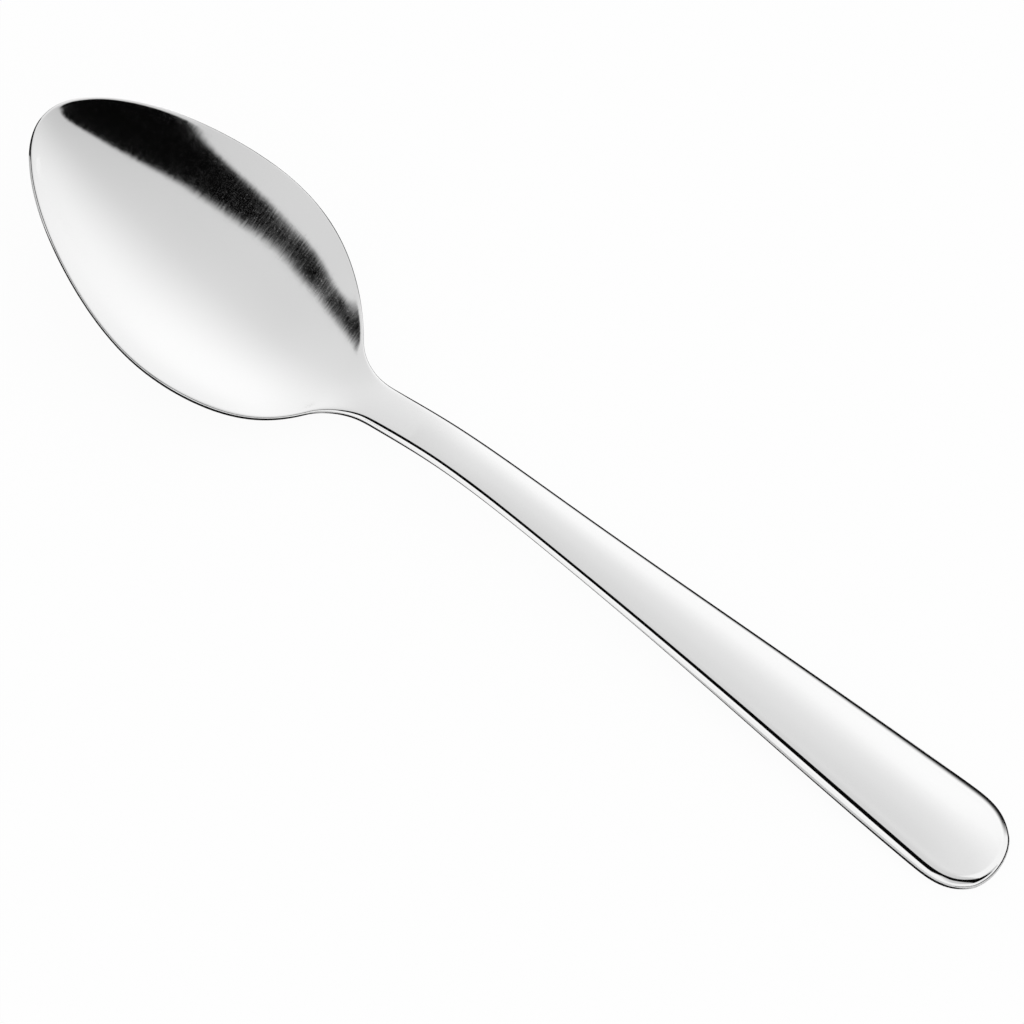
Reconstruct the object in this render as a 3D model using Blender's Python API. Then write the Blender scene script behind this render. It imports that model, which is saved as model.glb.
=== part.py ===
"""Dessert spoon, pressed from one piece of polished stainless steel.

The spoon lies on a table on the belly of its bowl and on the end of its handle.
X runs from the bowl tip to the handle end, Z is up, and the spoon is even about Y = 0.
Stations are millimetres from the bowl tip, and heights are millimetres above the table.
"""

import math

import bmesh
import bpy
import numpy as np

MM = 0.001
LENGTH = 180.0

# Outline seen from above: station, half width, heading in degrees, reach before and after
OUTLINE = (
    (0.0, 0.0, 90.0, 0.0, 11.1),
    (33.6, 20.1, 0.0, 12.2, 13.0),
    (57.3, 7.4, -56.0, 6.6, 2.2),
    (65.0, 3.5, 0.0, 3.4, 46.0),
    (171.5, 8.2, 2.0, 26.0, 4.4),
    (LENGTH, 0.0, -90.0, 5.8, 0.0),
)

# Height of the middle of the edge, seen from the side, straight past the last pair
EDGE_LINE = (
    (0.0, 18.5),
    (14.0, 14.7),
    (30.0, 10.5),
    (45.0, 7.4),
    (57.0, 4.4),
    (65.0, 5.5),
    (76.0, 7.7),
    (95.0, 7.7),
    (120.0, 6.1),
    (150.0, 3.7),
)

# Depth of the hollow below the edge, with the crown of the handle as a negative depth
DEPTH_LINE = (
    (0.0, 0.0),
    (3.0, 1.85),
    (8.0, 4.05),
    (15.0, 5.7),
    (23.0, 6.4),
    (31.0, 6.75),
    (40.0, 6.55),
    (48.0, 5.4),
    (55.0, 2.65),
    (61.0, 0.4),
    (67.0, -0.25),
    (85.0, -0.6),
    (120.0, -0.65),
    (150.0, -0.7),
    (168.0, -0.65),
    (LENGTH, 0.0),
)

# How far the wall of the bowl flares out flat again towards the rim
FLARE_LINE = (
    (0.0, 0.53),
    (10.0, 0.635),
    (20.0, 0.725),
    (30.0, 0.855),
    (40.0, 0.873),
    (48.0, 0.78),
    (55.0, 0.485),
    (62.0, 0.18),
    (66.0, 0.0),
    (70.0, 0.0),
)

# Swell of the underside below the edge, none on the flat back of the handle
BACK_LINE = (
    (0.0, 0.0),
    (3.0, 1.9),
    (8.0, 4.15),
    (15.0, 5.8),
    (23.0, 6.5),
    (31.0, 6.87),
    (40.0, 6.73),
    (48.0, 5.7),
    (55.0, 3.25),
    (61.0, 1.2),
    (67.0, 0.5),
    (85.0, 0.25),
    (110.0, 0.0),
)

# Thickness of the edge, and the roundings of its upper and lower corner
THICKNESS_LINE = (
    (0.0, 1.2),
    (45.0, 1.2),
    (57.0, 1.6),
    (67.0, 2.15),
    (80.0, 1.9),
    (92.0, 1.75),
    (110.0, 1.95),
    (125.0, 2.3),
    (140.0, 2.65),
    (155.0, 2.7),
    (168.0, 2.6),
    (LENGTH, 2.2),
)
UPPER_ROUNDING = (
    (0.0, 0.6),
    (48.0, 0.6),
    (66.0, 0.9),
    (92.0, 0.75),
    (110.0, 0.8),
    (125.0, 0.95),
    (140.0, 1.4),
    (152.0, 1.7),
    (168.0, 1.7),
    (LENGTH, 1.2),
)
LOWER_ROUNDING = (
    (0.0, 0.45),
    (48.0, 0.45),
    (66.0, 0.9),
    (92.0, 0.75),
    (110.0, 0.75),
    (130.0, 0.6),
    (140.0, 0.5),
    (LENGTH, 0.5),
)

# Distance between cross sections along the outline
SPACING = ((0.0, 2.0), (40.0, 2.6), (52.0, 1.6), (58.0, 1.0), (65.0, 1.1), (74.0, 2.4), (90.0, 4.5),
           (160.0, 4.5), (173.0, 1.6), (LENGTH, 1.4))
TIP_ARC = 6.5
END_ARC = 5.0
COLUMNS = 14
UPPER_STEPS = 4
LOWER_STEPS = 3
BOWED_ROWS = 8
OUTLINE_STEPS = 160
ROW_SAMPLES = 2000

# Half width that stands in for none at the two ends of the outline
NO_WIDTH = 1e-6

STEEL_COLOUR = (0.80, 0.80, 0.80, 1.0)
STEEL_ROUGHNESS = 0.12


def smooth_line(pairs):
    """Return a smooth curve through the pairs that runs straight past the last one."""
    stations = np.array([pair[0] for pair in pairs])
    values = np.array([pair[1] for pair in pairs])
    gaps = np.diff(stations)
    rises = np.diff(values) / gaps
    system = np.eye(len(pairs))
    bends = np.zeros(len(pairs))
    for i in range(1, len(pairs) - 1):
        system[i, i - 1:i + 2] = gaps[i - 1], 2 * (gaps[i - 1] + gaps[i]), gaps[i]
        bends[i] = 6 * (rises[i] - rises[i - 1])
    bends = np.linalg.solve(system, bends)
    last_slope = rises[-1] + gaps[-1] * bends[-2] / 6

    def value_at(station):
        i = np.clip(np.searchsorted(stations, station) - 1, 0, len(gaps) - 1)
        gap = gaps[i]
        right = (np.minimum(station, stations[-1]) - stations[i]) / gap
        left = 1 - right
        bend = (left ** 3 - left) * bends[i] + (right ** 3 - right) * bends[i + 1]
        curve = left * values[i] + right * values[i + 1] + bend * gap ** 2 / 6
        return curve + last_slope * np.maximum(station - stations[-1], 0)

    return value_at


def straight_line(pairs):
    """Return a curve of straight runs between the pairs."""
    stations = [pair[0] for pair in pairs]
    values = [pair[1] for pair in pairs]
    return lambda station: np.interp(station, stations, values)


def outline_points():
    """Return points along one side of the outline, from the tip to the handle end."""
    t = np.linspace(0, 1, OUTLINE_STEPS)[:, None]
    s = 1 - t
    pieces = []
    for here, there in zip(OUTLINE, OUTLINE[1:]):
        start = np.array(here[:2])
        end = np.array(there[:2])
        leave = np.radians(here[2])
        arrive = np.radians(there[2])
        first = start + here[4] * np.array([np.cos(leave), np.sin(leave)])
        second = end - there[3] * np.array([np.cos(arrive), np.sin(arrive)])
        curve = s ** 3 * start + 3 * s ** 2 * t * first + 3 * s * t ** 2 * second + t ** 3 * end
        pieces.append(curve[:-1])
    pieces.append(np.array([OUTLINE[-1][:2]]))
    return np.vstack(pieces)


edge_height = smooth_line(EDGE_LINE)
depth = smooth_line(DEPTH_LINE)
flare = smooth_line(FLARE_LINE)
swell = smooth_line(BACK_LINE)
thickness = smooth_line(THICKNESS_LINE)
upper_rounding = straight_line(UPPER_ROUNDING)
lower_rounding = straight_line(LOWER_ROUNDING)
spacing = straight_line(SPACING)


class Sheet:
    """The spoon's top and underside up to where the rounding of the edge begins."""

    def __init__(self):
        self.outline = outline_points()
        heading = np.gradient(self.outline, axis=0)
        heading /= np.hypot(heading[:, 0], heading[:, 1])[:, None]
        self.outward = np.column_stack([-heading[:, 1], heading[:, 0]])
        self.outward[0] = (-1.0, 0.0)
        self.outward[-1] = (1.0, 0.0)
        self.reach = upper_rounding(self.outline[:, 0])
        self.border = self.outline - self.outward * self.reach[:, None]
        steps = np.hypot(*np.diff(self.border, axis=0).T)
        self.along = np.concatenate([[0.0], np.cumsum(steps)])

    def at(self, distance):
        """Return the point at a distance along the border."""
        return np.array([np.interp(distance, self.along, self.border[:, axis]) for axis in (0, 1)])

    def edge_at(self, distance):
        """Return the outward direction and the reach of the rounding at a distance along the border."""
        outward = np.array([np.interp(distance, self.along, self.outward[:, axis]) for axis in (0, 1)])
        return outward / math.hypot(*outward), np.interp(distance, self.along, self.reach)

    def hollow(self, x, y):
        """Return the share of the full depth that the section has at a point."""
        half_width = np.interp(x, self.outline[:, 0], self.outline[:, 1])
        share = min(abs(y) / max(half_width, NO_WIDTH), 1.0)
        lip = max(flare(x), 0.0)
        return 1 - (share ** 2 / 2 - lip * share ** 5 / 5) / (1 / 2 - lip / 5)

    def top(self, x, y):
        return edge_height(x) + thickness(x) / 2 - depth(x) * self.hollow(x, y)

    def under(self, x, y):
        return edge_height(x) - thickness(x) / 2 - max(swell(x), 0.0) * self.hollow(x, y)

    def row_distances(self):
        """Return distances along the border, close together where the outline turns."""
        dense = np.linspace(TIP_ARC, self.along[-1] - END_ARC, ROW_SAMPLES)
        stations = np.interp(dense, self.along, self.border[:, 0])
        count = np.concatenate([[0.0], np.cumsum(np.diff(dense) / spacing(stations[1:]))])
        rows = round(count[-1])
        return np.interp(np.linspace(0, count[-1], rows + 1), count, dense)

    def grid(self):
        """Return rows of points across the sheet, bowed near both ends to follow the outline."""
        distances = self.row_distances()
        across = np.linspace(-1, 1, COLUMNS + 1)
        tip = np.array([self.at(abs(side) * TIP_ARC) for side in across])
        end = np.array([self.at(self.along[-1] - abs(side) * END_ARC) for side in across])
        rows = []
        for i, distance in enumerate(distances):
            corner = self.at(distance)
            near_tip = max(0.0, 1 - i / BOWED_ROWS)
            near_end = max(0.0, 1 - (len(distances) - 1 - i) / BOWED_ROWS)
            rest = 1 - near_tip - near_end
            spread = near_tip * tip[:, 1] / tip[0, 1] + near_end * end[:, 1] / end[0, 1]
            spread += rest * abs(across)
            x = corner[0] + near_tip * (tip[:, 0] - tip[0, 0]) + near_end * (end[:, 0] - end[0, 0])
            rows.append(np.column_stack([x, np.sign(across) * spread * corner[1]]))
        return np.array(rows), distances


def border_places(rows, distances, sheet):
    """Return row, column, side and distance along the border for each point around it."""
    places = []
    last = rows - 1
    for j in range(COLUMNS):
        side = 2 * j / COLUMNS - 1
        places.append((0, j, np.sign(side), abs(side) * TIP_ARC))
    for i in range(last):
        places.append((i, COLUMNS, 1.0, distances[i]))
    for j in range(COLUMNS, 0, -1):
        side = 2 * j / COLUMNS - 1
        places.append((last, j, np.sign(side), sheet.along[-1] - abs(side) * END_ARC))
    for i in range(last, 0, -1):
        places.append((i, 0, -1.0, distances[i]))
    return places


def edge_points(sheet, point, side, distance):
    """Return the points of the rounded edge between the top and the underside."""
    outward, upper = sheet.edge_at(distance)
    outward = outward * (1.0, side)
    lower = lower_rounding(point[0])
    points = []
    for step in range(1, UPPER_STEPS + 1):
        turn = math.pi / 2 * step / UPPER_STEPS
        x, y = point + upper * math.sin(turn) * outward
        points.append((x, y, sheet.top(x, y) - upper * (1 - math.cos(turn))))
    for step in range(LOWER_STEPS, 0, -1):
        turn = math.pi / 2 * step / LOWER_STEPS
        x, y = point + (upper - lower * (1 - math.sin(turn))) * outward
        points.append((x, y, sheet.under(x, y) + lower * (1 - math.cos(turn))))
    return points


def build_spoon():
    """Build the spoon as one closed mesh."""
    sheet = Sheet()
    grid, distances = sheet.grid()
    rows = len(grid)
    mesh = bmesh.new()

    def add(x, y, z):
        return mesh.verts.new(((x - LENGTH / 2) * MM, y * MM, z * MM))

    top = [[add(x, y, sheet.top(x, y)) for x, y in row] for row in grid]
    under = [[add(x, y, sheet.under(x, y)) for x, y in row] for row in grid]
    for i in range(rows - 1):
        for j in range(COLUMNS):
            mesh.faces.new((top[i][j], top[i + 1][j], top[i + 1][j + 1], top[i][j + 1]))
            mesh.faces.new((under[i][j], under[i][j + 1], under[i + 1][j + 1], under[i + 1][j]))
    strips = []
    for i, j, side, distance in border_places(rows, distances, sheet):
        edge = [add(*place) for place in edge_points(sheet, grid[i, j], side, distance)]
        strips.append([top[i][j], *edge, under[i][j]])
    for one, two in zip(strips, strips[1:] + strips[:1]):
        for step in range(len(one) - 1):
            mesh.faces.new((one[step], two[step], two[step + 1], one[step + 1]))
    bmesh.ops.recalc_face_normals(mesh, faces=mesh.faces)
    lowest = min(vert.co.z for vert in mesh.verts)
    bmesh.ops.translate(mesh, verts=mesh.verts, vec=(0.0, 0.0, -lowest))
    data = bpy.data.meshes.new("spoon")
    mesh.to_mesh(data)
    mesh.free()
    data.shade_smooth()
    return bpy.data.objects.new("spoon", data)


def steel():
    """Make the plain polished steel."""
    material = bpy.data.materials.new("polished_steel")
    material.use_nodes = True
    shader = material.node_tree.nodes["Principled BSDF"]
    shader.inputs["Base Color"].default_value = STEEL_COLOUR
    shader.inputs["Metallic"].default_value = 1.0
    shader.inputs["Roughness"].default_value = STEEL_ROUGHNESS
    return material


def main():
    for item in list(bpy.data.objects):
        bpy.data.objects.remove(item, do_unlink=True)
    spoon = build_spoon()
    spoon.data.materials.append(steel())
    bpy.context.scene.collection.objects.link(spoon)


main()
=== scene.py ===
"""Polished dessert spoon on a pale table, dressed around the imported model.

Lengths in the tables are in millimetres: stations run from the tip of the bowl to the end of the
handle, and heights are above the table. Everything that Blender gets is in metres.
"""

import math

import bmesh
import bpy
from mathutils import Matrix, Vector


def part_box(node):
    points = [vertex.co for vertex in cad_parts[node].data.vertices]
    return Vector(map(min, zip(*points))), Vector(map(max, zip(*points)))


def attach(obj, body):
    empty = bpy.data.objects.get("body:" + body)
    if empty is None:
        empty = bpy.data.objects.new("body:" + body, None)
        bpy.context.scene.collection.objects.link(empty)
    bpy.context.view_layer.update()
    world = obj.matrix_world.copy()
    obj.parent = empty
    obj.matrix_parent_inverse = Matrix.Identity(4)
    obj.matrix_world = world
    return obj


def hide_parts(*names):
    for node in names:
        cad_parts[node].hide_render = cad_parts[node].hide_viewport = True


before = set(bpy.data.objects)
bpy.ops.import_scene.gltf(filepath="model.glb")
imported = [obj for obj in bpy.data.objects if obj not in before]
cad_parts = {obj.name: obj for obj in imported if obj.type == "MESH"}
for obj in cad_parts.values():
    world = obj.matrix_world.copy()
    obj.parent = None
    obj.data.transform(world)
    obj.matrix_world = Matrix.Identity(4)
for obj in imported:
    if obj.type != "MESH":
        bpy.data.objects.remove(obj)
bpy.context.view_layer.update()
SPOON_LOW, SPOON_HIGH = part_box("spoon")

bl_info = {
    "name": "Dessert Spoon",
    "version": (1, 0, 0),
    "blender": (4, 5, 0),
    "location": "View3D > Sidebar > Spoon",
    "description": "Forms a polished dessert spoon and sets it on a studio table",
    "category": "Add Mesh",
}

MM = 0.001
DRAWN_LENGTH = 180.0
DEGREES = math.degrees(1.0)

# Length and half width that stand in for none
NO_LENGTH = 1e-9
NO_WIDTH = 1e-6

# Outline seen from above: station, half width, heading in degrees, reach before and after
OUTLINE = (
    (0.0, 0.0, 90.0, 0.0, 11.1),
    (33.6, 20.1, 0.0, 12.2, 13.0),
    (57.3, 7.4, -56.0, 6.6, 2.2),
    (65.0, 3.5, 0.0, 3.4, 46.0),
    (171.5, 8.2, 2.0, 26.0, 4.4),
    (180.0, 0.0, -90.0, 5.8, 0.0),
)
OUTLINE_STEPS = 120

# Height of the middle of the edge
EDGE_LINE = ((0.0, 18.5), (14.0, 14.7), (30.0, 10.5), (45.0, 7.4), (57.0, 4.4), (65.0, 5.5), (76.0, 7.7),
             (95.0, 7.7), (120.0, 6.1), (150.0, 3.7))

# Depth of the hollow below the edge, with the crown of the handle as a negative depth
DEPTH_LINE = ((0.0, 0.0), (3.0, 1.95), (8.0, 4.05), (15.0, 5.7), (23.0, 6.4), (31.0, 6.75), (40.0, 6.55),
              (48.0, 5.4), (55.0, 2.55), (61.0, 0.25), (67.0, -0.25), (85.0, -0.6), (120.0, -0.65),
              (150.0, -0.7), (168.0, -0.65), (180.0, 0.0))

# How far the wall of the bowl flares out flat again towards the rim
FLARE_LINE = ((0.0, 0.53), (10.0, 0.605), (20.0, 0.698), (30.0, 0.845), (40.0, 0.873), (48.0, 0.78),
              (55.0, 0.42), (62.0, 0.18), (66.0, 0.0), (70.0, 0.0))

# Swell of the underside below the edge
BACK_LINE = ((0.0, 0.0), (3.0, 1.9), (8.0, 4.15), (15.0, 5.8), (23.0, 6.5), (31.0, 6.87), (40.0, 6.73),
             (48.0, 5.7), (55.0, 3.25), (61.0, 1.2), (67.0, 0.5), (85.0, 0.25), (110.0, 0.0))

# Thickness of the edge, and the roundings of its upper and lower corner
THICKNESS_LINE = ((0.0, 1.2), (45.0, 1.2), (57.0, 1.6), (67.0, 2.15), (80.0, 1.9), (92.0, 1.75),
                  (110.0, 1.95), (125.0, 2.3), (140.0, 2.65), (155.0, 2.7), (168.0, 2.6), (180.0, 2.2))
UPPER_ROUNDING = ((0.0, 0.3), (52.0, 0.3), (58.0, 0.4), (66.0, 0.85), (76.0, 0.6), (92.0, 0.5),
                  (110.0, 0.6), (125.0, 0.9), (140.0, 1.4), (152.0, 1.7), (160.0, 1.8), (167.0, 1.95),
                  (172.0, 1.85), (180.0, 1.1))
LOWER_ROUNDING = ((0.0, 0.4), (48.0, 0.4), (66.0, 0.9), (92.0, 0.75), (110.0, 0.75), (130.0, 0.6),
                  (140.0, 0.5), (160.0, 0.45))
WIDEST_ROUNDING = 2.0
ROUNDING_SEGMENTS = 3

# How far the cut edge leans in from the underside to the top
LEAN_LINE = ((0.0, 0.42), (4.0, 0.36), (12.0, 0.15), (25.0, 0.0))

# Distance between the rows of the sheet along the outline
SPACING = ((0.0, 2.2), (14.0, 3.0), (40.0, 3.0), (50.0, 2.0), (56.0, 1.3), (65.0, 1.5), (74.0, 3.0),
           (90.0, 6.0), (158.0, 6.0), (172.0, 2.0), (180.0, 1.7))

# Length along the outline from the middle of each end to the first and last row, which are bowed
TIP_ARC = 6.0
END_ARC = 4.5
BOWED_ROWS = 7

# Columns across the sheet, and the room between its outermost points and the rounding of the edge
COLUMNS = 16
HALF_COLUMNS = COLUMNS // 2
RIM_ROOM = 0.45

# Grain of the steel: scale per metre and detail of its noise, and how far it changes the roughness
LINE_SCALE = (5500.0, 400.0, 400.0)
LINE_CHANGE = 0.06
MOTTLE_SCALE = 900.0
MOTTLE_CHANGE = 0.08
GRAIN_DETAIL = 3.0
GRAIN_ROUGHNESS = 0.6
SPECK_SCALE = 4500.0
SPECK_DETAIL = 1.0
SPECK_ROUGHNESS = 0.5
SPECK_RANGE = (0.56, 0.72)
NOISE_MIDDLE = 0.5

# Rays that see the table as plain white, and the share of white that they see
WHITE_TO = ("Camera", "Glossy", "Transmission")
TABLE_WHITE = 0.95
TABLE_SIZE = 8.0
WORLD_STRENGTH = 0.9

# Painted shadow: a black card under the near side of the spoon, which the steel mirrors as its own shadow on
# the table: how far it shows beyond the edge, and how far it runs under
PAINTED_SHADOW_END = 179.0
SHADOW_CARD_STEPS = 90
SHADOW_PROUD_LINE = ((0.0, 55.0), (50.0, 55.0), (55.0, 45.0), (57.0, 20.0), (58.5, 0.5), (60.0, 0.5), (63.0, 3.0),
              (75.0, 2.8), (90.0, 1.6), (112.0, 1.1), (130.0, 1.6), (150.0, 1.3), (170.0, 1.2), (176.0, 0.9),
              (179.0, 0.0))
PAINTED_SHADOW_ROOM = 8.0

# Pale card under the whole spoon, which takes its shadow: how far it shows all round
SHADE_CARD_ROOM = 4.0

# Black card hung behind the far edge, by the distance along the outline: height above the edge, and drop
BACK_CARD_ROOM = 1.0
BACK_CARD_STEPS = 150
BACK_CARD_HEIGHTS = ((20.0, -0.8), (28.0, 0.7), (38.0, 0.7), (41.0, 0.15), (47.0, 0.15), (51.0, 0.7),
                     (61.0, 0.7), (66.0, -0.5), (77.0, -0.5), (82.0, 0.4), (176.0, 0.4), (184.0, -0.2),
                     (190.0, -0.55), (197.0, -0.8), (202.0, -1.5), (207.0, -2.0))
BACK_CARD_DROPS = ((20.0, 1.8), (180.0, 1.8), (188.0, 9.0))

# Black card on a grey one on the table beyond the tip: station, near side and far side of both their ends
TIP_CARD = ((-600.0, -278.0, 231.0), (-1.0, -0.8, 5.1))
TIP_GREY_CARD = ((-140.0, -70.0, 95.0), (-0.5, -25.0, 20.0))

# Heights of the cards above the table, and how light they are
CARD_HEIGHT = 0.4
GREY_CARD_HEIGHT = 0.2
SHADE_CARD_HEIGHT = 0.1
CARD_BLACK = 0.01
CARD_GREY = 0.55
CARD_PALE = 0.8

# White card bent about the handle: the stations of its ends, of its own light and of its fade to white
HANDLE_CARD_SPAN = (60.0, 232.0)
HANDLE_CARD_OWN = 80.0
HANDLE_CARD_FADE = (183.0, 192.0)
HANDLE_CARD_WHITE = 1.0
HANDLE_CARD_RADIUS = 25.0
HANDLE_CARD_HEIGHT = 7.0
HANDLE_CARD_FACES = 144

# Light of the handle's card by the angle from straight above, and the angles of its long sides
CARD_LEVELS = ((-9.0, 0.75), (2.0, 0.785), (10.0, 0.82), (19.0, 0.845), (26.0, 0.88), (33.0, 0.932),
               (40.0, 0.987), (46.0, 1.043), (54.0, 1.07), (61.0, 1.07), (67.0, 0.9), (73.0, 0.62),
               (80.0, 0.3), (87.0, 0.08), (94.0, 0.02))
CARD_LOW = -9.0
CARD_HIGH = 105.0

# Dome of light over the table, in metres
DOME_RADIUS = 1.5
DOME_FLOOR = 0.002
DOME_SEGMENTS = 96
DOME_RINGS = 48

# Light of the dome by its angle from straight above, on the side of the camera first
DOME_STRENGTH = 1.15
DOME_LEVELS = ((-90.0, 1.05), (-62.0, 1.05), (-48.0, 0.73), (-10.0, 0.732), (0.0, 0.744), (10.0, 0.760),
               (20.0, 0.785), (30.0, 0.832), (40.0, 0.886), (50.0, 0.942), (60.0, 0.996), (70.0, 1.048),
               (80.0, 1.088), (90.0, 1.12))

# Light that the dome loses by the degree, and by its square, of the turn towards the end of the handle
DOME_FADE = 0.0016
DOME_FADE_BEND = 0.000019

# Upper and lower edge of the dark flag on the dome by the same turn, how soft they are, and its own light
FLAG_HIGH = ((-90.0, 13.0), (-48.0, -4.6), (-22.0, -16.0), (-1.0, -24.7), (3.0, -25.6), (6.0, -25.0),
             (10.0, -24.0), (19.0, -21.9), (32.0, -17.3), (42.0, -12.2), (51.0, -5.3), (58.0, 0.0),
             (70.0, 8.6), (74.0, 14.5), (90.0, 30.0))
FLAG_LOW = ((-90.0, -60.0), (-14.0, -60.0), (-8.0, -66.0), (12.0, -66.0), (24.0, -43.0), (36.0, -40.0),
            (46.0, -32.0), (56.0, -26.0), (70.0, -20.0), (90.0, -20.0))
FLAG_HIGH_SOFTNESS = 1.8
FLAG_LOW_SOFTNESS = 2.0
FLAG_LEVEL = 0.002

# Height of the camera's aim and how far it sees, in metres, and the width of its sensor
AIM_HEIGHT = 0.006
CLIP_END = 20.0
SENSOR_WIDTH = 36.0


def smooth_line(pairs):
    """Return a smooth curve through the pairs that runs straight past the last one."""
    count = len(pairs)
    gaps = [pairs[i + 1][0] - pairs[i][0] for i in range(count - 1)]
    rises = [(pairs[i + 1][1] - pairs[i][1]) / gaps[i] for i in range(count - 1)]
    upper = [0.0] * count
    bends = [0.0] * count
    for i in range(1, count - 1):
        pivot = 2 * (gaps[i - 1] + gaps[i]) - gaps[i - 1] * upper[i - 1]
        upper[i] = gaps[i] / pivot
        bends[i] = (6 * (rises[i] - rises[i - 1]) - gaps[i - 1] * bends[i - 1]) / pivot
    for i in range(count - 2, 0, -1):
        bends[i] -= upper[i] * bends[i + 1]
    last_slope = rises[-1] + gaps[-1] * bends[-2] / 6

    def value_at(station):
        i = 0
        while i < count - 2 and station > pairs[i + 1][0]:
            i += 1
        right = (min(station, pairs[-1][0]) - pairs[i][0]) / gaps[i]
        left = 1 - right
        bend = (left ** 3 - left) * bends[i] + (right ** 3 - right) * bends[i + 1]
        value = left * pairs[i][1] + right * pairs[i + 1][1] + bend * gaps[i] ** 2 / 6
        return value + last_slope * max(station - pairs[-1][0], 0.0)

    return value_at


def straight_line(pairs, station):
    """Return the value at a station on straight runs between the pairs."""
    for here, there in zip(pairs, pairs[1:]):
        if station <= there[0]:
            share = (station - here[0]) / max(there[0] - here[0], NO_LENGTH)
            return here[1] + share * (there[1] - here[1])
    return pairs[-1][1]


def outline_points():
    """Return points along one side of the outline, from the tip to the end of the handle."""
    points = []
    for here, there in zip(OUTLINE, OUTLINE[1:]):
        start = Vector(here[:2])
        end = Vector(there[:2])
        leave = math.radians(here[2])
        arrive = math.radians(there[2])
        first = start + here[4] * Vector((math.cos(leave), math.sin(leave)))
        second = end - there[3] * Vector((math.cos(arrive), math.sin(arrive)))
        for step in range(OUTLINE_STEPS):
            t = step / OUTLINE_STEPS
            s = 1 - t
            points.append(s ** 3 * start + 3 * s * s * t * first + 3 * s * t * t * second + t ** 3 * end)
    points.append(Vector(OUTLINE[-1][:2]))
    return points


edge_height = smooth_line(EDGE_LINE)
depth = smooth_line(DEPTH_LINE)
swell = smooth_line(BACK_LINE)
thickness = smooth_line(THICKNESS_LINE)
flare = smooth_line(FLARE_LINE)
HALF_WIDTHS = [tuple(point) for point in outline_points()]


def half_width(station):
    """Return half the width of the outline at a station."""
    return straight_line(HALF_WIDTHS, station)


class Blank:
    """The shape that the sheet of steel is pressed to."""

    def __init__(self):
        outline = outline_points()
        rim = []
        inside = []
        for i, point in enumerate(outline):
            ahead = outline[min(i + 1, len(outline) - 1)] - outline[max(i - 1, 0)]
            inward = Vector((ahead.y, -ahead.x)).normalized()
            rim.append(point + inward * straight_line(LEAN_LINE, point.x))
            inside.append(rim[-1] + inward * (straight_line(UPPER_ROUNDING, point.x) + RIM_ROOM))
        self.along = [0.0]
        for here, there in zip(inside, inside[1:]):
            self.along.append(self.along[-1] + (there - here).length)
        self.inside = [list(zip(self.along, [point[axis] for point in inside])) for axis in range(2)]
        self.upper = [list(zip(self.along, [point[axis] for point in rim])) for axis in range(2)]
        self.lower = [list(zip(self.along, [point[axis] for point in outline])) for axis in range(2)]

    def at(self, distance):
        """Return the point at a distance along the line inside the rim."""
        return tuple(straight_line(line, distance) for line in self.inside)

    def rim(self, distance):
        """Return the upper and the lower point of the cut edge beside the point inside the rim."""
        x, y = [straight_line(line, distance) for line in self.upper]
        foot_x, foot_y = [straight_line(line, distance) for line in self.lower]
        return Vector((x, y, self.top(x, y))), Vector((foot_x, foot_y, self.under(foot_x, foot_y)))

    def share(self, x, y):
        """Return how far across the sheet a point lies, from 0 in the middle to 1 at the edge."""
        return min(abs(y) / max(half_width(x), NO_WIDTH), 1.0)

    def hollow(self, x, y):
        """Return the share of the full depth that the section has at a point."""
        share = self.share(x, y)
        lip = max(flare(x), 0.0)
        return 1 - (share ** 2 / 2 - lip * share ** 5 / 5) / (1 / 2 - lip / 5)

    def top(self, x, y):
        """Return the height of the top at a point."""
        return edge_height(x) + thickness(x) / 2 - depth(x) * self.hollow(x, y)

    def under(self, x, y):
        """Return the height of the underside at a point."""
        return edge_height(x) - thickness(x) / 2 - max(swell(x), 0.0) * self.hollow(x, y)

    def rows(self):
        """Return the distances of the rows along the outline."""
        distances = [TIP_ARC]
        while distances[-1] < self.along[-1] - END_ARC:
            distances.append(distances[-1] + straight_line(SPACING, self.at(distances[-1])[0]))
        stretch = (self.along[-1] - END_ARC - TIP_ARC) / (distances[-1] - TIP_ARC)
        return [TIP_ARC + (distance - TIP_ARC) * stretch for distance in distances]

    def across(self, distance, row, row_count):
        """Return the points of one row from the middle to the rim, bowed near both ends."""
        x_edge, y_edge = self.at(distance)
        near_tip = max(0.0, 1 - row / BOWED_ROWS)
        near_end = max(0.0, 1 - (row_count - 1 - row) / BOWED_ROWS)
        tip_corner = self.at(TIP_ARC)
        end_corner = self.at(self.along[-1] - END_ARC)
        points = []
        for column in range(HALF_COLUMNS + 1):
            share = column / HALF_COLUMNS
            tip = self.at(share * TIP_ARC)
            end = self.at(self.along[-1] - share * END_ARC)
            spread = (near_tip * tip[1] / tip_corner[1] + near_end * end[1] / end_corner[1]
                      + (1 - near_tip - near_end) * share)
            x = x_edge + near_tip * (tip[0] - tip_corner[0]) + near_end * (end[0] - end_corner[0])
            points.append((x, spread * y_edge))
        return points

    def sheet(self):
        """Return the points of the half sheet inside the rim, and the pairs of rim points around it."""
        distances = self.rows()
        last = len(distances) - 1
        inside = []
        rim = {}
        for row, distance in enumerate(distances):
            points = self.across(distance, row, last + 1)
            inside.append([Vector((x, y, self.top(x, y))) for x, y in points])
            for step in range(HALF_COLUMNS + 1):
                if row == 0:
                    rim[row, step] = self.rim(step / HALF_COLUMNS * TIP_ARC)
                elif row == last:
                    rim[row, step] = self.rim(self.along[-1] - step / HALF_COLUMNS * END_ARC)
                elif step == HALF_COLUMNS:
                    rim[row, step] = self.rim(distance)
        return inside, rim


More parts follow.
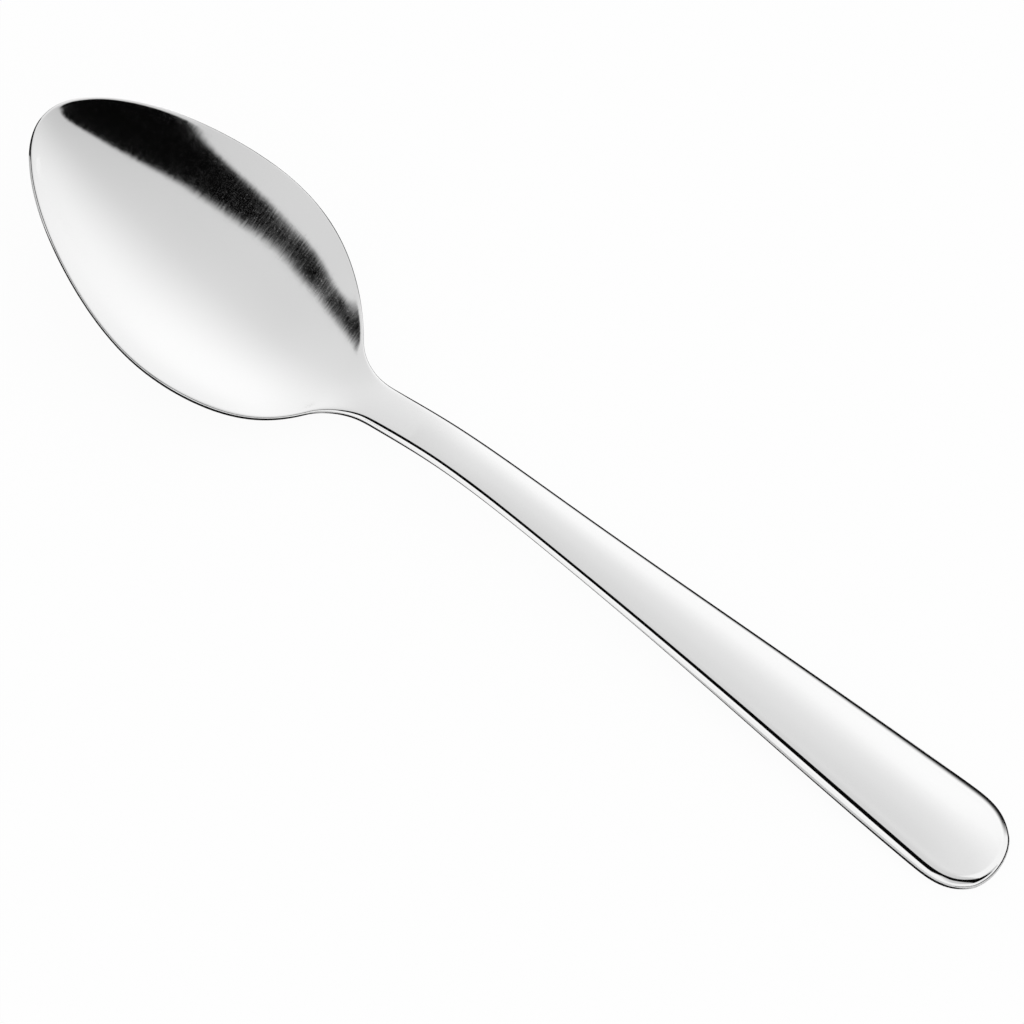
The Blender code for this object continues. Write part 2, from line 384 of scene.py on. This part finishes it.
def sharpened(inside, rim):
    """Move the points by what the smoothing of the sheet takes off, all but its four corners."""
    last = len(inside) - 1
    moved = [[point.copy() for point in row] for row in inside]

    def beside(row, step, mate):
        here = inside[row][step]
        rounding = straight_line(UPPER_ROUNDING, mate.x)
        return here + (mate - here) * (RIM_ROOM / (RIM_ROOM + rounding))

    for i in range(last + 1):
        for j in range(HALF_COLUMNS + 1):
            if i in (0, last) and j == HALF_COLUMNS:
                continue
            here = inside[i][j]
            before = beside(i, j, rim[i, j][0]) if i == 0 else inside[i - 1][j]
            after = beside(i, j, rim[i, j][0]) if i == last else inside[i + 1][j]
            outer = beside(i, j, rim[i, j][0]) if j == HALF_COLUMNS else inside[i][j + 1]
            inner = inside[i][j - 1] if j else Vector((outer.x, -outer.y, outer.z))
            moved[i][j] = here - (before + after + inner + outer - 4 * here) / 6
    return moved


def select_only(mesh_object, cage, verts):
    """Select these points of the cage and nothing else."""
    bpy.ops.mesh.select_all(action="DESELECT")
    for vert in verts:
        vert.select_set(True)
    cage.select_flush_mode()
    bmesh.update_edit_mesh(mesh_object.data, loop_triangles=False, destructive=False)


def grey(level):
    """Return a grey of a level as a colour."""
    return level, level, level, 1.0


class Wire:
    """A socket of a node tree that takes part in sums."""

    def __init__(self, tree, socket=None):
        self.tree = tree
        self.socket = socket

    def add(self, kind, settings=None, values=None, output=0):
        """Add a node, make its settings, fill its sockets and return one of its outputs."""
        node = self.tree.nodes.new(kind)
        for name, setting in (settings or {}).items():
            if name == "stops":
                ramp = node.color_ramp
                while len(ramp.elements) < len(setting):
                    ramp.elements.new(0.5)
                for element, (place, level) in zip(ramp.elements, setting):
                    element.position = place
                    element.color = grey(level)
            else:
                setattr(node, name, setting)
        for key, value in (values or {}).items():
            if isinstance(value, Wire):
                self.tree.links.new(value.socket, node.inputs[key])
            else:
                node.inputs[key].default_value = value
        return Wire(self.tree, node.outputs[output] if node.outputs else None)

    def soft_step(self, value, low, high, top=1.0):
        """Return a smooth rise from 0 at the low value to the top at the high one."""
        return self.add("ShaderNodeMapRange", {"interpolation_type": "SMOOTHSTEP"}, {
            "Value": value, "From Min": low, "From Max": high, "To Max": top})

    def combine(self, operation, first, second):
        """Return the result of one sum of two wires or numbers."""
        return self.add("ShaderNodeMath", {"operation": operation}, {0: first, 1: second})

    def __add__(self, other):
        return self.combine("ADD", self, other)

    def __radd__(self, other):
        return self.combine("ADD", other, self)

    def __sub__(self, other):
        return self.combine("SUBTRACT", self, other)

    def __rsub__(self, other):
        return self.combine("SUBTRACT", other, self)

    def __mul__(self, other):
        return self.combine("MULTIPLY", self, other)

    def __truediv__(self, other):
        return self.combine("DIVIDE", self, other)


def half_turn_share(angle):
    """Return how far an angle, a number or a wire, lies on the way from -90 to 90 degrees."""
    return (angle + 90) / 180


def new_material(name):
    """Return an empty material and a wire to its node tree."""
    material = bpy.data.materials.new(name)
    material.use_nodes = True
    material.node_tree.nodes.clear()
    return material, Wire(material.node_tree)


class SpoonSizes(bpy.types.PropertyGroup):
    """Sizes of the spoon."""

    length: bpy.props.FloatProperty(
        name="Length", description="Length from the tip of the bowl to the end of the handle",
        default=SPOON_HIGH.x - SPOON_LOW.x, unit="LENGTH")
    width: bpy.props.FloatProperty(
        name="Bowl Width", description="Width of the bowl where it is widest",
        default=SPOON_HIGH.y - SPOON_LOW.y, unit="LENGTH")
    smoothness: bpy.props.IntProperty(
        name="Smoothness", description="How often the sheet is subdivided", default=2, min=1, max=3)


class SteelFinish(bpy.types.PropertyGroup):
    """Finish of the polished steel."""

    colour: bpy.props.FloatVectorProperty(
        name="Steel Colour", description="Colour of the polished steel", subtype="COLOR", size=4,
        default=(0.90, 0.90, 0.90, 1.0), min=0.0, max=1.0)
    roughness: bpy.props.FloatProperty(
        name="Polish", description="Roughness of the polished steel", subtype="FACTOR",
        default=0.07, min=0.0, max=1.0)
    line_tilt: bpy.props.FloatProperty(
        name="Polishing Lines", description="How far the polishing lines tilt the surface",
        subtype="FACTOR", default=0.011, min=0.0, max=0.2)
    specks: bpy.props.FloatProperty(
        name="Specks", description="Roughness that the small specks add to the polish", subtype="FACTOR",
        default=0.05, min=0.0, max=1.0)


class StudioSettings(bpy.types.PropertyGroup):
    """Camera, table and light of the studio."""

    azimuth: bpy.props.FloatProperty(
        name="Azimuth", description="Turn of the camera about the spoon", subtype="ANGLE",
        default=math.radians(11.89))
    elevation: bpy.props.FloatProperty(
        name="Elevation", description="Height of the camera above the table as an angle", subtype="ANGLE",
        default=math.radians(63.65))
    roll: bpy.props.FloatProperty(
        name="Roll", description="Turn of the camera about its own line of sight", subtype="ANGLE",
        default=math.radians(25.07))
    distance: bpy.props.FloatProperty(
        name="Distance", description="Distance of the camera from the spoon", default=2.5, unit="LENGTH")
    view_width: bpy.props.FloatProperty(
        name="View Width", description="Width of the picture at the spoon", default=0.15211, unit="LENGTH")
    aim_right: bpy.props.FloatProperty(
        name="Aim Right", description="Shift of the aim along the picture", default=-0.000475,
        unit="LENGTH")
    aim_up: bpy.props.FloatProperty(
        name="Aim Up", description="Shift of the aim up the picture", default=-0.00147, unit="LENGTH")
    table_colour: bpy.props.FloatVectorProperty(
        name="Table Colour", description="Colour of the table", subtype="COLOR", size=4,
        default=(0.9, 0.9, 0.9, 1.0), min=0.0, max=1.0)


class SPOON_OT_form(bpy.types.Operator):
    """Press a flat sheet into the spoon, thicken it and round its edge"""

    bl_idname = "spoon.form"
    bl_label = "Form the Spoon"

    def execute(self, context):
        sizes = context.scene.spoon_sizes
        blank = Blank()
        inside, rim = blank.sheet()
        bpy.ops.object.select_all(action="DESELECT")
        bpy.ops.mesh.primitive_grid_add(x_subdivisions=len(inside) - 1, y_subdivisions=COLUMNS, size=2.0)
        piece = context.object
        piece.name = "polished_spoon"
        piece.data.name = "polished_spoon"
        bpy.ops.object.mode_set(mode="EDIT")
        self.press(piece, inside, rim)
        self.thicken(piece, blank, rim)
        self.weigh_edges(piece)
        self.scale(piece, sizes)
        bpy.ops.object.mode_set(mode="OBJECT")
        self.finish_edges(piece, sizes)
        self.level(piece)
        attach(piece, "root")
        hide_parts("spoon")
        return {"FINISHED"}

    def press(self, piece, inside, rim):
        """Move the rows and columns of the flat grid to the top of the spoon, and draw out its rim."""
        cage = bmesh.from_edit_mesh(piece.data)
        row_of = cage.verts.layers.int.new("row")
        step_of = cage.verts.layers.int.new("step")
        cage.verts.layers.int.new("rim")
        last = len(inside) - 1
        pairs = {}
        for vert in cage.verts:
            row = round((vert.co.x + 1) / 2 * last)
            step = abs(round(vert.co.y * HALF_COLUMNS))
            vert[row_of] = row
            vert[step_of] = step
            pairs.setdefault((row, step), []).append(vert)
        for row, points in enumerate(sharpened(inside, rim)):
            for step, point in enumerate(points):
                self.move_pair(piece, cage, pairs[row, step], point)
        select_only(piece, cage, [vert for key in rim for vert in pairs[key]])
        bpy.ops.mesh.extrude_region_move()
        cage = bmesh.from_edit_mesh(piece.data)
        layers = cage.verts.layers.int
        pairs = {}
        for vert in cage.verts:
            if vert.select:
                vert[layers["rim"]] = 1
                pairs.setdefault((vert[layers["row"]], vert[layers["step"]]), []).append(vert)
        for key, pair in pairs.items():
            self.move_pair(piece, cage, pair, rim[key][0])

    def move_pair(self, piece, cage, pair, point):
        """Move two points that mirror each other to the place of one and its mirror image."""
        select_only(piece, cage, pair)
        place = pair[0].co.copy()
        if place.y:
            factors = (1.0, point.y / abs(place.y), 1.0)
            bpy.ops.transform.resize(value=factors, center_override=(0.0, 0.0, 0.0))
        bpy.ops.transform.translate(value=(point.x - place.x, 0.0, point.z - place.z))

    def thicken(self, piece, blank, rim):
        """Extrude the sheet downwards and press its underside."""
        bpy.ops.mesh.select_all(action="SELECT")
        bpy.ops.mesh.extrude_region_move(TRANSFORM_OT_translate={"value": (0.0, 0.0, -1.0)})
        cage = bmesh.from_edit_mesh(piece.data)
        side_of = cage.verts.layers.int.new("side")
        layers = cage.verts.layers.int
        pairs = {}
        for vert in cage.verts:
            if vert.select:
                vert[side_of] = 1
                key = vert[layers["row"]], vert[layers["step"]], vert[layers["rim"]]
                pairs.setdefault(key, []).append(vert)
        for (row, step, outer), pair in pairs.items():
            x, y = pair[0].co.xy
            point = rim[row, step][1] if outer else Vector((x, abs(y), blank.under(x, y)))
            self.move_pair(piece, cage, pair, point)
        bpy.ops.mesh.select_all(action="SELECT")
        bpy.ops.mesh.normals_make_consistent(inside=False)

    def weigh_edges(self, piece):
        """Give the upper and lower edge lines the share of the rounding that they get."""
        cage = bmesh.from_edit_mesh(piece.data)
        weight_of = cage.edges.layers.float.new("bevel_weight_edge")
        layers = cage.verts.layers.int
        for edge in cage.edges:
            one, two = edge.verts
            sides = one[layers["side"]] + two[layers["side"]]
            if one[layers["rim"]] and two[layers["rim"]] and sides != 1:
                line = LOWER_ROUNDING if sides else UPPER_ROUNDING
                middle = (one.co.x + two.co.x) / 2
                edge[weight_of] = straight_line(line, middle) / WIDEST_ROUNDING
        bmesh.update_edit_mesh(piece.data)

    def scale(self, piece, sizes):
        """Bring the sheet from millimetres to its real size and place."""
        widest = 2 * max(point[1] for point in OUTLINE)
        factors = (sizes.length / DRAWN_LENGTH, sizes.width / widest, MM)
        bpy.ops.mesh.select_all(action="SELECT")
        bpy.ops.transform.resize(value=factors, center_override=(0.0, 0.0, 0.0))
        bpy.ops.transform.translate(value=(SPOON_LOW.x, 0.0, 0.0))

    def finish_edges(self, piece, sizes):
        """Round the edges, smooth the sheet and drop the marks that placed its rows."""
        bpy.ops.object.modifier_add(type="BEVEL")
        rounding = piece.modifiers[-1]
        rounding.limit_method = "WEIGHT"
        rounding.offset_type = "OFFSET"
        rounding.width = WIDEST_ROUNDING * MM
        rounding.segments = ROUNDING_SEGMENTS
        rounding.use_clamp_overlap = False
        bpy.ops.object.modifier_apply(modifier=rounding.name)
        bpy.ops.object.modifier_add(type="SUBSURF")
        smoothing = piece.modifiers[-1]
        smoothing.levels = sizes.smoothness
        smoothing.render_levels = sizes.smoothness
        bpy.ops.object.modifier_apply(modifier=smoothing.name)
        for name in ("row", "step", "rim", "side", "bevel_weight_edge"):
            mark = piece.data.attributes.get(name)
            if mark:
                piece.data.attributes.remove(mark)
        bpy.ops.object.shade_smooth()

    def level(self, piece):
        """Set the spoon down on the table."""
        lowest = min(vert.co.z for vert in piece.data.vertices)
        bpy.ops.object.mode_set(mode="EDIT")
        bpy.ops.mesh.select_all(action="SELECT")
        bpy.ops.transform.translate(value=(0.0, 0.0, SPOON_LOW.z - lowest))
        bpy.ops.object.mode_set(mode="OBJECT")


class SPOON_OT_polish(bpy.types.Operator):
    """Give the spoon its polished steel"""

    bl_idname = "spoon.polish"
    bl_label = "Polish the Steel"

    def execute(self, context):
        finish = context.scene.spoon_finish
        piece = bpy.data.objects["polished_spoon"]
        material, wire = new_material("polished_steel")
        place = wire.add("ShaderNodeTexCoord", output="Object")
        normal = wire.add("ShaderNodeTexCoord", output="Normal")
        stretched = wire.add("ShaderNodeVectorMath", {"operation": "MULTIPLY"}, {0: place, 1: LINE_SCALE})
        lines = self.noise(wire, stretched, 1.0) - NOISE_MIDDLE
        mottle = self.noise(wire, place, MOTTLE_SCALE) - NOISE_MIDDLE
        grains = self.noise(wire, place, SPECK_SCALE, SPECK_DETAIL, SPECK_ROUGHNESS)
        specks = wire.soft_step(grains, *SPECK_RANGE, finish.specks)
        leaning = wire.add("ShaderNodeCombineXYZ", {}, {"Y": lines * (2 * finish.line_tilt)})
        tilted = wire.add("ShaderNodeVectorMath", {"operation": "ADD"}, {0: normal, 1: leaning})
        tilted = wire.add("ShaderNodeVectorMath", {"operation": "NORMALIZE"}, {0: tilted})
        roughness = finish.roughness + mottle * MOTTLE_CHANGE + lines * LINE_CHANGE + specks
        shader = wire.add("ShaderNodeBsdfPrincipled", {}, {
            "Base Color": finish.colour, "Metallic": 1.0, "Roughness": roughness, "Normal": tilted})
        wire.add("ShaderNodeOutputMaterial", {}, {"Surface": shader})
        piece.data.materials.clear()
        piece.data.materials.append(material)
        return {"FINISHED"}

    def noise(self, wire, place, scale, detail=GRAIN_DETAIL, roughness=GRAIN_ROUGHNESS):
        """Return noise at a place, about a middle value."""
        return wire.add("ShaderNodeTexNoise", {"noise_dimensions": "3D"}, {
            "Vector": place, "Scale": scale, "Detail": detail, "Roughness": roughness})


class SPOON_OT_stage(bpy.types.Operator):
    """Set the table, the studio light and the camera"""

    bl_idname = "spoon.stage"
    bl_label = "Set the Stage"

    def execute(self, context):
        settings = context.scene.spoon_studio
        self.lay_table(settings)
        self.hang_dome()
        self.hold_handle_card()
        self.lay_shade_card()
        self.lay_painted_shadow_card()
        self.hang_back_card()
        self.lay_tip_cards()
        self.light_world(context)
        self.place_camera(context, settings)
        context.scene.view_settings.view_transform = "Standard"
        return {"FINISHED"}

    def lay_table(self, settings):
        """Lay a plain white table that keeps a soft shadow."""
        bpy.ops.object.select_all(action="DESELECT")
        bpy.ops.mesh.primitive_plane_add(size=TABLE_SIZE, location=(0.0, 0.0, 0.0))
        table = bpy.context.object
        table.name = "table"
        material, wire = new_material("white_table")
        camera, glossy, through = [
            wire.add("ShaderNodeLightPath", output=f"Is {name} Ray") for name in WHITE_TO]
        share = (camera + glossy + through) * TABLE_WHITE
        matt = wire.add("ShaderNodeBsdfDiffuse", {}, {"Color": settings.table_colour})
        white = wire.add("ShaderNodeEmission", {}, {"Color": grey(1.0), "Strength": 1.0})
        shader = wire.add("ShaderNodeMixShader", {}, {0: share, 1: matt, 2: white})
        wire.add("ShaderNodeOutputMaterial", {}, {"Surface": shader})
        table.data.materials.append(material)

    def hide_from_camera(self, item):
        """Leave a piece of studio gear to be seen in the polished steel only."""
        item.visible_camera = False
        item.visible_diffuse = False
        item.visible_shadow = False
        item.visible_transmission = False

    def hang_dome(self):
        """Hang a dome of soft light over the spoon, with a dark flag on the side of the camera."""
        bpy.ops.object.select_all(action="DESELECT")
        bpy.ops.mesh.primitive_uv_sphere_add(
            segments=DOME_SEGMENTS, ring_count=DOME_RINGS, radius=DOME_RADIUS)
        dome = bpy.context.object
        dome.name = "light_dome"
        bpy.ops.object.mode_set(mode="EDIT")
        bpy.ops.mesh.select_all(action="SELECT")
        bpy.ops.mesh.bisect(plane_co=(0.0, 0.0, DOME_FLOOR), plane_no=(0.0, 0.0, 1.0), clear_inner=True)
        bpy.ops.object.mode_set(mode="OBJECT")
        material, wire = new_material("dome_light")
        place = wire.add("ShaderNodeTexCoord", output="Object")
        heading = wire.add("ShaderNodeVectorMath", {"operation": "NORMALIZE"}, {0: place})
        ahead = wire.add("ShaderNodeSeparateXYZ", {}, {0: heading}, "X")
        away = wire.add("ShaderNodeSeparateXYZ", {}, {0: heading}, "Y")
        turn = wire.add("ShaderNodeMath", {"operation": "ARCSINE"}, {0: ahead}) * DEGREES
        tilt = wire.add("ShaderNodeMath", {"operation": "ARCSINE"}, {0: away}) * DEGREES
        stops = [(half_turn_share(angle), level / DOME_STRENGTH) for angle, level in DOME_LEVELS]
        ramp = wire.add("ShaderNodeValToRGB", {"stops": stops}, {"Fac": half_turn_share(tilt)})
        fade = 1 - turn * DOME_FADE - turn * turn * DOME_FADE_BEND
        edges = []
        for line in (FLAG_HIGH, FLAG_LOW):
            stops = [(half_turn_share(angle), half_turn_share(edge)) for angle, edge in line]
            share = wire.add("ShaderNodeValToRGB", {"stops": stops}, {"Fac": half_turn_share(turn)})
            edges.append(share * 180 - 90)
        upper, lower = edges
        above = wire.soft_step(tilt - upper, -FLAG_HIGH_SOFTNESS, FLAG_HIGH_SOFTNESS)
        below = wire.soft_step(lower - tilt, -FLAG_LOW_SOFTNESS, FLAG_LOW_SOFTNESS)
        bright = (above + below) * fade + FLAG_LEVEL
        colour = wire.add("ShaderNodeVectorMath", {"operation": "SCALE"}, {0: ramp, "Scale": bright})
        light = wire.add("ShaderNodeEmission", {}, {"Color": colour, "Strength": DOME_STRENGTH})
        wire.add("ShaderNodeOutputMaterial", {}, {"Surface": light})
        dome.data.materials.append(material)
        self.hide_from_camera(dome)

    def hold_handle_card(self):
        """Hold a bent white card along the far side of the handle."""
        bpy.ops.object.select_all(action="DESELECT")
        start, end = HANDLE_CARD_SPAN
        middle = (start + end) / 2
        bpy.ops.mesh.primitive_cylinder_add(
            vertices=HANDLE_CARD_FACES, radius=HANDLE_CARD_RADIUS * MM, depth=(end - start) * MM,
            end_fill_type="NOTHING", rotation=(0.0, math.pi / 2, 0.0),
            location=(SPOON_LOW.x + middle * MM, 0.0, HANDLE_CARD_HEIGHT * MM))
        bpy.ops.object.transform_apply(location=False, rotation=True, scale=False)
        card = bpy.context.object
        card.name = "handle_card"
        bpy.ops.object.mode_set(mode="EDIT")
        for limit, side in ((CARD_LOW, -1.0), (CARD_HIGH, 1.0)):
            across = math.radians(limit)
            bpy.ops.mesh.select_all(action="SELECT")
            bpy.ops.mesh.bisect(plane_co=card.location, clear_outer=True,
                                plane_no=(0.0, side * math.cos(across), -side * math.sin(across)))
        bpy.ops.object.mode_set(mode="OBJECT")
        material, wire = new_material("card_white")
        place = wire.add("ShaderNodeTexCoord", output="Object")
        away = wire.add("ShaderNodeSeparateXYZ", {}, {0: place}, "Y")
        height = wire.add("ShaderNodeSeparateXYZ", {}, {0: place}, "Z")
        angle = wire.add("ShaderNodeMath", {"operation": "ARCTAN2"}, {0: away, 1: height})
        ahead = wire.add("ShaderNodeSeparateXYZ", {}, {0: place}, "X")
        blends = [wire.soft_step(ahead, (begin - middle) * MM, (full - middle) * MM)
                  for begin, full in ((start, HANDLE_CARD_OWN), HANDLE_CARD_FADE)]
        card_span = CARD_HIGH - CARD_LOW
        share = (angle * DEGREES - CARD_LOW) / card_span
        far_levels = [pair for pair in DOME_LEVELS if pair[0] >= 0]
        ramps = []
        for levels in (far_levels, CARD_LEVELS):
            stops = [((stop - CARD_LOW) / card_span, level / DOME_STRENGTH) for stop, level in levels]
            ramps.append(wire.add("ShaderNodeValToRGB", {"stops": stops}, {"Fac": share}))
        white = grey(HANDLE_CARD_WHITE / DOME_STRENGTH)
        colour = ramps[0]
        for blend, goal in zip(blends, (ramps[1], white)):
            colour = wire.add("ShaderNodeMix", {"data_type": "RGBA"}, {0: blend, 6: colour, 7: goal}, 2)
        light = wire.add("ShaderNodeEmission", {}, {"Color": colour, "Strength": DOME_STRENGTH})
        wire.add("ShaderNodeOutputMaterial", {}, {"Surface": light})
        card.data.materials.append(material)
        self.hide_from_camera(card)

    def lay_shade_card(self):
        """Lay a pale card under the spoon, so that the steel mirrors a soft shadow beside it."""
        card, cage = self.new_strip("shade_card", SHADOW_CARD_STEPS)
        for vert, share, far in self.strip_places(cage):
            station = share * (DRAWN_LENGTH + SHADE_CARD_ROOM)
            width = half_width(station) + SHADE_CARD_ROOM
            self.place_vert(card, cage, vert, (station, width if far else -width, SHADE_CARD_HEIGHT))
        self.finish_card(card, CARD_PALE)

    def lay_painted_shadow_card(self):
        """Lay a black card under the near side of the spoon as painted shadow, which the steel mirrors as
        the dark outer line of its edge.
        """
        card, cage = self.new_strip("painted_shadow_card", SHADOW_CARD_STEPS)
        for vert, share, far in self.strip_places(cage):
            station = share * PAINTED_SHADOW_END
            width = half_width(station)
            # The black of this card is painted shadow, seen in the steel where the spoon's shadow on the
            # table would be
            y = min(PAINTED_SHADOW_ROOM - width, 0.0) if far else -width - straight_line(SHADOW_PROUD_LINE, station)
            self.place_vert(card, cage, vert, (station, y, CARD_HEIGHT))
        self.finish_card(card)

    def hang_back_card(self):
        """Hang a black card behind the far edge, which draws the line along it."""
        path = outline_points()
        path += [Vector((point.x, -point.y)) for point in reversed(path[:-1])]
        lines = [[], [], []]
        distance = 0.0
        for i, point in enumerate(path):
            ahead = path[min(i + 1, len(path) - 1)] - path[max(i - 1, 0)]
            place = point + Vector((-ahead.y, ahead.x)).normalized() * BACK_CARD_ROOM
            if i:
                distance += (point - path[i - 1]).length
            for line, value in zip(lines, (place.x, place.y, point.x)):
                line.append((distance, value))
        card, cage = self.new_strip("back_card", BACK_CARD_STEPS)
        first, last = BACK_CARD_HEIGHTS[0][0], BACK_CARD_HEIGHTS[-1][0]
        for vert, share, high in self.strip_places(cage):
            distance = first + share * (last - first)
            x, y, station = [straight_line(line, distance) for line in lines]
            top = edge_height(station) + thickness(station) / 2 + straight_line(BACK_CARD_HEIGHTS, distance)
            low = max(top - straight_line(BACK_CARD_DROPS, distance), CARD_HEIGHT)
            self.place_vert(card, cage, vert, (x, y, top if high else low))
        self.finish_card(card)

    def lay_tip_cards(self):
        """Lay a black card on a grey one beyond the tip, which draw the outline of the bowl there."""
        cards = (("tip_card", TIP_CARD, CARD_HEIGHT, CARD_BLACK),
                 ("tip_grey_card", TIP_GREY_CARD, GREY_CARD_HEIGHT, CARD_GREY))
        for name, ends, height, level in cards:
            card, cage = self.new_strip(name, 1)
            for vert, share, far in self.strip_places(cage):
                station, near_side, far_side = ends[round(share)]
                self.place_vert(card, cage, vert, (station, far_side if far else near_side, height))
            self.finish_card(card, level)

    def new_strip(self, name, steps):
        """Return a flat strip of faces in edit mode, and its cage."""
        bpy.ops.object.select_all(action="DESELECT")
        bpy.ops.mesh.primitive_grid_add(x_subdivisions=steps, y_subdivisions=1, size=1.0)
        strip = bpy.context.object
        strip.name = name
        bpy.ops.object.mode_set(mode="EDIT")
        return strip, bmesh.from_edit_mesh(strip.data)

    def strip_places(self, cage):
        """Return the points of a flat strip, their share of its length, and if they lie on its far side."""
        return [(vert, vert.co.x + 0.5, vert.co.y > 0) for vert in cage.verts]

    def place_vert(self, strip, cage, vert, place):
        """Move a point of a strip to a place given in millimetres from the tip of the bowl."""
        select_only(strip, cage, [vert])
        goal = Vector(place) * MM + Vector((SPOON_LOW.x, 0.0, 0.0))
        bpy.ops.transform.translate(value=goal - vert.co)

    def finish_card(self, card, level=CARD_BLACK):
        """Give a card its shade of grey and leave it to be seen in the steel only."""
        bpy.ops.object.mode_set(mode="OBJECT")
        material, wire = new_material(card.name)
        matt = wire.add("ShaderNodeBsdfDiffuse", {}, {"Color": grey(level)})
        wire.add("ShaderNodeOutputMaterial", {}, {"Surface": matt})
        card.data.materials.append(material)
        self.hide_from_camera(card)

    def light_world(self, context):
        """Light the studio evenly in white."""
        world = bpy.data.worlds.new("white_studio")
        context.scene.world = world
        world.use_nodes = True
        world.node_tree.nodes.clear()
        wire = Wire(world.node_tree)
        light = wire.add("ShaderNodeBackground", {}, {"Color": grey(1.0), "Strength": WORLD_STRENGTH})
        wire.add("ShaderNodeOutputWorld", {}, {"Surface": light})

    def place_camera(self, context, settings):
        """Look down on the spoon from its near side."""
        flat = math.cos(settings.elevation)
        back = Vector((math.sin(settings.azimuth) * flat, -math.cos(settings.azimuth) * flat,
                       math.sin(settings.elevation)))
        right = Vector((0.0, 0.0, 1.0)).cross(back).normalized()
        up = back.cross(right)
        turn, side = math.cos(settings.roll), math.sin(settings.roll)
        right, up = turn * right + side * up, turn * up - side * right
        aim = Vector((0.0, 0.0, AIM_HEIGHT)) + settings.aim_right * right + settings.aim_up * up
        camera = bpy.data.cameras.new("camera")
        holder = bpy.data.objects.new("camera", camera)
        context.scene.collection.objects.link(holder)
        camera.sensor_width = SENSOR_WIDTH
        camera.lens = SENSOR_WIDTH * settings.distance / settings.view_width
        camera.clip_end = CLIP_END
        holder.matrix_world = Matrix.Translation(aim + settings.distance * back) @ Matrix(
            (right, up, back)).transposed().to_4x4()
        context.scene.camera = holder


class SPOON_PT_panel(bpy.types.Panel):
    """Lists the steps that make the spoon"""

    bl_idname = "SPOON_PT_panel"
    bl_label = "Dessert Spoon"
    bl_space_type = "VIEW_3D"
    bl_region_type = "UI"
    bl_category = "Spoon"

    def draw(self, context):
        groups = (
            ("spoon_sizes", "spoon.form"),
            ("spoon_finish", "spoon.polish"),
            ("spoon_studio", "spoon.stage"),
        )
        for group, operator in groups:
            box = self.layout.box()
            settings = getattr(context.scene, group)
            for name in settings.bl_rna.properties.keys():
                if name not in ("rna_type", "name"):
                    box.prop(settings, name)
            box.operator(operator)


CLASSES = (
    SpoonSizes,
    SteelFinish,
    StudioSettings,
    SPOON_OT_form,
    SPOON_OT_polish,
    SPOON_OT_stage,
    SPOON_PT_panel,
)


def register():
    for item in CLASSES:
        bpy.utils.register_class(item)
    bpy.types.Scene.spoon_sizes = bpy.props.PointerProperty(type=SpoonSizes)
    bpy.types.Scene.spoon_finish = bpy.props.PointerProperty(type=SteelFinish)
    bpy.types.Scene.spoon_studio = bpy.props.PointerProperty(type=StudioSettings)


def unregister():
    del bpy.types.Scene.spoon_studio
    del bpy.types.Scene.spoon_finish
    del bpy.types.Scene.spoon_sizes
    for item in reversed(CLASSES):
        bpy.utils.unregister_class(item)


def main():
    register()
    bpy.ops.spoon.form()
    bpy.ops.spoon.polish()
    bpy.ops.spoon.stage()


if __name__ == "__main__":
    main()
